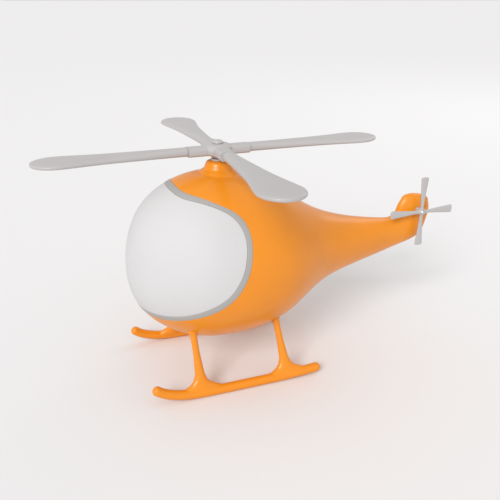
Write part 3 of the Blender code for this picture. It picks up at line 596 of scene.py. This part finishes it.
def make_trim():
    """A soft band between the two lines, standing a little proud with rounded shoulders."""
    front, back = crossing(PANE_LINE, 0.0), crossing(CANOPY_LINE, 0.0)
    section = [(TRIM_SHOULDER * (1 - math.cos(a)), GASKET_PROUD - TRIM_ROUND * (1 - math.sin(a)))
               for a in np.linspace(0, math.pi / 2, EDGE_STEPS)]
    section += [(v, GASKET_PROUD) for v in np.linspace(TRIM_SHOULDER, 1 - TRIM_SHOULDER, 7)[1:-1]]
    section += [(1 - v, height) for v, height in section[:EDGE_STEPS][::-1]]
    section += [(1.0, -GASKET_DEPTH), (0.0, -GASKET_DEPTH)]
    rings = [raised(front + (back - front) * v, ANGLES, height) for v, height in section]
    bm = bmesh.new()
    rows = [[bm.verts.new(point) for point in ring] for ring in rings]
    for row, following in zip(rows, rows[1:] + rows[:1]):
        for k in range(AROUND):
            n = (k + 1) % AROUND
            bm.faces.new((row[k], row[n], following[n], following[k]))
    show(new_object("canopy_trim", bm), "airframe", "trim_grey", "canopy_gasket")


# --- main rotor -------------------------------------------------------------------------------
def make_hub():
    centre = Matrix.Translation((0, MAST_Y, ROTOR_Z))
    bm = bmesh.new()
    turn(bm, HUB_PROFILE, centre)
    for quarter in (0, 1):
        place = (Matrix.Translation((0, MAST_Y, ROTOR_Z - ARM_DROP))
                 @ Matrix.Rotation(quarter * math.pi / 2 + ROTOR_TURN, 4, "Z"))
        reach = ARM_REACH + ARM_SPARE
        bar(bm, [(x, *ARM_HALF) for x in np.linspace(-reach, reach, 20)], place, ARM_POWER)
    hub = fused("rotor_boss", bm, *HUB_FILLET)
    bm = bmesh.new()
    socket = [half + SOCKET_GAP for half in SPIGOT_HALF]
    length, wide = END_CUT
    for quarter in range(4):
        place = centre @ Matrix.Rotation(quarter * math.pi / 2 + ROTOR_TURN, 4, "Z")
        bar(bm, [(ARM_REACH - SOCKET_DEPTH, *socket), (ARM_REACH, *socket),
                 (ARM_REACH, wide, wide), (ARM_REACH + length, wide, wide)],
            place, SOCKET_POWER, count=44)
    turn(bm, HUB_SHAFT_HOLE, centre, 60)
    turn(bm, HUB_CAP_HOLE, centre, 66)
    combine(hub, [("DIFFERENCE", new_object("sockets", bm))], sharp=HUB_SHARP)
    show(hub, "main_rotor", "rotor_grey", "rotor_hub")
    bm = bmesh.new()
    dome = smooth_path(CAP_PROFILE[:5], 18).tolist()
    dome[0][0] = 0.0
    turn(bm, [*dome, *CAP_PROFILE[5:]], centre)
    show(new_object("hub_button", bm), "main_rotor", "rotor_grey", "hub_cap")


def blade_stations():
    plan = np.array(BLADE_PLAN)
    width_at = spline(plan[:, 0], plan[:, 1])
    root, tip_start = ARM_REACH + FINE_SEAM, plan[-1, 0]
    root_height, tip_height = BLADE_HALF_HEIGHTS
    stations = []
    for a in np.linspace(0, math.pi / 2, 5)[:-1]:
        trim = BLADE_EDGE * (1 - math.sin(a))
        stations.append((root + BLADE_EDGE * (1 - math.cos(a)), plan[0, 1] - trim,
                         root_height - trim))
    places = np.linspace(root + BLADE_EDGE, tip_start, 60)
    heights = np.interp(places, (root, tip_start), BLADE_HALF_HEIGHTS)
    stations += list(zip(places, width_at(places), heights))
    roundness = 2 / BLADE_TIP_POWER
    for a in np.linspace(0, math.pi / 2, 30)[1:-1]:
        r = tip_start + (ROTOR_RADIUS - tip_start) * math.sin(a) ** roundness
        stations.append((r, plan[-1, 1] * math.cos(a) ** roundness,
                         tip_height * math.cos(a) ** 0.5))
    return stations


def make_blades():
    stations = blade_stations()
    spigot = [(x, *SPIGOT_HALF) for x in (ARM_REACH - SOCKET_DEPTH + SPIGOT_SPARE,
                                          stations[0][0] - SPIGOT_JOIN)]
    for node, quarter in (("blade_front", 3), ("blade_port", 0), ("blade_rear", 1),
                          ("blade_starboard", 2)):
        place = (Matrix.Translation((0, MAST_Y, ROTOR_Z))
                 @ Matrix.Rotation(quarter * math.pi / 2 + ROTOR_TURN, 4, "Z"))
        bm = bmesh.new()
        bar(bm, spigot + stations, place, BLADE_POWER, count=72, tip=(ROTOR_RADIUS, 0, 0))
        show(new_object(node.replace("blade", "vane"), bm), "main_rotor", "rotor_grey", node)


def make_mast():
    bm = bmesh.new()
    flange = COLLAR_TOP + FLANGE_LIFT
    top, edge = (flange + height for height in FLANGE_HEIGHTS)
    turn(bm, ((LINER_BORE, top), (FLANGE_RADII[0], top), (FLANGE_RADII[1], edge),
              (FLANGE_RADII[1], flange), (LINER_RADIUS, flange), (LINER_RADIUS, LINER_FOOT),
              (LINER_BORE, LINER_FOOT)),
         Matrix.Translation((0, MAST_Y, 0)))
    show(new_object("mast_liner", bm), "airframe", "bush_grey", "mast_bush")


# --- tail rotor -------------------------------------------------------------------------------
def make_tail_rotor():
    centre = Matrix.Translation(TAIL_CENTRE)
    sideways = Matrix.Rotation(math.pi / 2, 4, "Y")
    bm = bmesh.new()
    turn(bm, TAIL_HUB_PROFILE, centre @ sideways, 60)
    round_start = TAIL_RADIUS - TAIL_CORNER
    round_places = np.sin(np.linspace(0, math.pi / 2, 9)[1:-1])
    for quarter in range(4):
        a = quarter * math.pi / 2
        place = centre @ Matrix(((0, 0, 1, 0), (math.cos(a), -math.sin(a), 0, 0),
                                 (math.sin(a), math.cos(a), 0, 0), (0, 0, 0, 1)))
        stations = []
        for r in np.r_[np.linspace(0, round_start, 30),
                       TAIL_RADIUS - TAIL_CORNER * (1 - round_places)]:
            wide = float(np.interp(r, PADDLE_PLACES, PADDLE_HALF_WIDTHS))
            into = max(0.0, (r - TAIL_RADIUS + TAIL_CORNER) / TAIL_CORNER)
            end = math.sqrt(1 - into ** 2)
            stations.append((r, wide - TAIL_CORNER * (1 - end),
                             PADDLE_HALF_HEIGHTS[0] + PADDLE_HALF_HEIGHTS[1] * end))
        bar(bm, stations, place, PADDLE_POWER, count=40)
    rotor = fused("tail_propeller", bm, *PROPELLER_FILLET)
    bm = bmesh.new()
    turn(bm, TAIL_BORE, centre @ sideways, 40)
    combine(rotor, [("DIFFERENCE", new_object("bore", bm))], sharp=THIN_SHARP)
    show(rotor, "tail_rotor", "rotor_grey", "tail_rotor")


# --- skids ------------------------------------------------------------------------------------
def strut_axis(side, strut):
    foot_y, top_y = STRUTS[strut]
    foot = Vector((side * RUNNER_X, foot_y, RUNNER_Z))
    top = Vector((side * STRUT_TOP_X, top_y, BELLY_Z))
    return foot, top


def strut_top(side, strut):
    """The place of a strut's top, with +Z along the strut."""
    foot, top = strut_axis(side, strut)
    up = (top - foot).normalized()
    return Matrix.Translation(top) @ up.to_track_quat("Z", "Y").to_matrix().to_4x4()


def make_skid(side):
    bm = bmesh.new()
    path = smooth_path(RUNNER_PATH, 90)
    along = np.gradient(path, axis=0)
    along /= np.linalg.norm(along, axis=1)[:, None]
    angles = np.linspace(0, 2 * math.pi, 48, endpoint=False)
    end = RUNNER_RADIUS * RUNNER_END
    reach = np.linspace(0, math.pi / 2, 10)
    steps = np.concatenate([[0], np.cumsum(np.linalg.norm(np.diff(path, axis=0), axis=1))])
    keep = (steps > end) & (steps < steps[-1] - end)
    rear = [(path[0] + along[0] * end * (1 - math.sin(a)), along[0], math.cos(a))
            for a in reach[::-1][1:]]
    front = [(path[-1] - along[-1] * end * (1 - math.sin(a)), along[-1], math.cos(a))
             for a in reach[:-1]]
    body = [(p, d, 1.0) for p, d in zip(path[keep], along[keep])]
    rings = []
    for point, direction, scale in rear + body + front:
        radius = RUNNER_RADIUS * scale
        rings.append([(side * RUNNER_X + radius * math.cos(a),
                       point[0] + direction[1] * radius * math.sin(a),
                       point[1] - direction[0] * radius * math.sin(a)) for a in angles])
    loft(bm, rings, (side * RUNNER_X, *path[0]), (side * RUNNER_X, *path[-1]))
    form = np.array(STRUT_FORM)
    shares = np.linspace(form[0, 0], form[-1, 0], 70)
    fore, wide, shift = (np.interp(shares, form[:, 0], form[:, k]) for k in (1, 2, 3))
    for strut in range(len(STRUTS)):
        foot, top = strut_axis(side, strut)
        up = (top - foot).normalized()
        across = Vector((0, 1, 0)).cross(up).normalized()
        tailwards = up.cross(across)
        rows = zip(shares.tolist(), fore.tolist(), wide.tolist(), shift.tolist())
        loft(bm, [[foot.lerp(top, s) + tailwards * (m + f * math.cos(a)) + across * w * math.sin(a)
                   for a in angles] for s, f, w, m in rows])
    skid = fused("skid_port" if side > 0 else "skid_starboard", bm, *SKID_FILLET)
    tools = [("DIFFERENCE", body_solid(STRUT_BITE))]
    bm = bmesh.new()
    for strut in range(len(STRUTS)):
        turn(bm, PLUG_PROFILE, strut_top(side, strut), 28)
    tools.append(("UNION", new_object("plugs", bm)))
    combine(skid, tools, sharp=THIN_SHARP, floor=0.0)
    show(skid, "airframe", "body_orange", "skid_left" if side > 0 else "skid_right")


make_body()
make_pane()
make_trim()
make_hub()
make_blades()
make_mast()
make_tail_rotor()
for side in (1, -1):
    make_skid(side)

# The CAD pieces that stay in view keep their shape and get the same looks.
SLOT_OF = {part["node"]: part["material_slot"] for part in frame["record"]["subparts"]}
for name in ("rotor_shaft", "shaft_clip", "tail_axle", "tail_spacer",
             *(n for n in frame["nodes"] if "screw" in n)):
    node = frame["nodes"][name]
    node.data.materials.clear()
    node.data.materials.append(SLOTS[SLOT_OF[name]])


# --- floor, light and camera ------------------------------------------------------------------
def stand(name, data):
    """Puts a light or a camera into the scene."""
    item = bpy.data.objects.new(name, data)
    bpy.context.scene.collection.objects.link(item)
    return item


bm = bmesh.new()
bmesh.ops.create_grid(bm, x_segments=2, y_segments=2, size=FLOOR_SIZE)
floor = new_object("floor", bm)
paper = bpy.data.materials.new("paper")
paper.use_nodes = True
paper_shader = paper.node_tree.nodes["Principled BSDF"]
paper_shader.inputs["Base Color"].default_value = PAPER_COLOUR
paper_shader.inputs["Roughness"].default_value = PAPER_ROUGHNESS
floor.data.materials.append(paper)

world = bpy.data.worlds.new("studio")
world.use_nodes = True
sky = world.node_tree.nodes["Background"]
sky.inputs["Color"].default_value = WORLD_COLOUR
sky.inputs["Strength"].default_value = WORLD_STRENGTH
bpy.context.scene.world = world
bpy.context.scene.view_settings.view_transform = "Standard"

sun = bpy.data.lights.new("key", "SUN")
sun.energy = KEY_ENERGY
sun.angle = math.radians(KEY_ANGLE)
stand("key", sun).rotation_euler = Vector(KEY_FROM).to_track_quat("Z", "Y").to_euler()
glow = bpy.data.lights.new("glow", "POINT")
glow.energy = GLOW_ENERGY
glow.shadow_soft_size = GLOW_SIZE
stand("glow", glow).location = GLOW_PLACE

lens = bpy.data.cameras.new("camera")
lens.sensor_width = SENSOR_WIDTH
lens.lens = LENS
lens.clip_start = CLIP_START
camera = stand("camera", lens)
camera.location = CAMERA_PLACE
heading, tilt = math.radians(CAMERA_TURN), math.radians(CAMERA_TILT)
back = Vector((math.sin(heading) * math.cos(tilt), -math.cos(heading) * math.cos(tilt),
               math.sin(tilt)))
camera.rotation_euler = back.to_track_quat("Z", "Y").to_euler()
bpy.context.scene.camera = camera
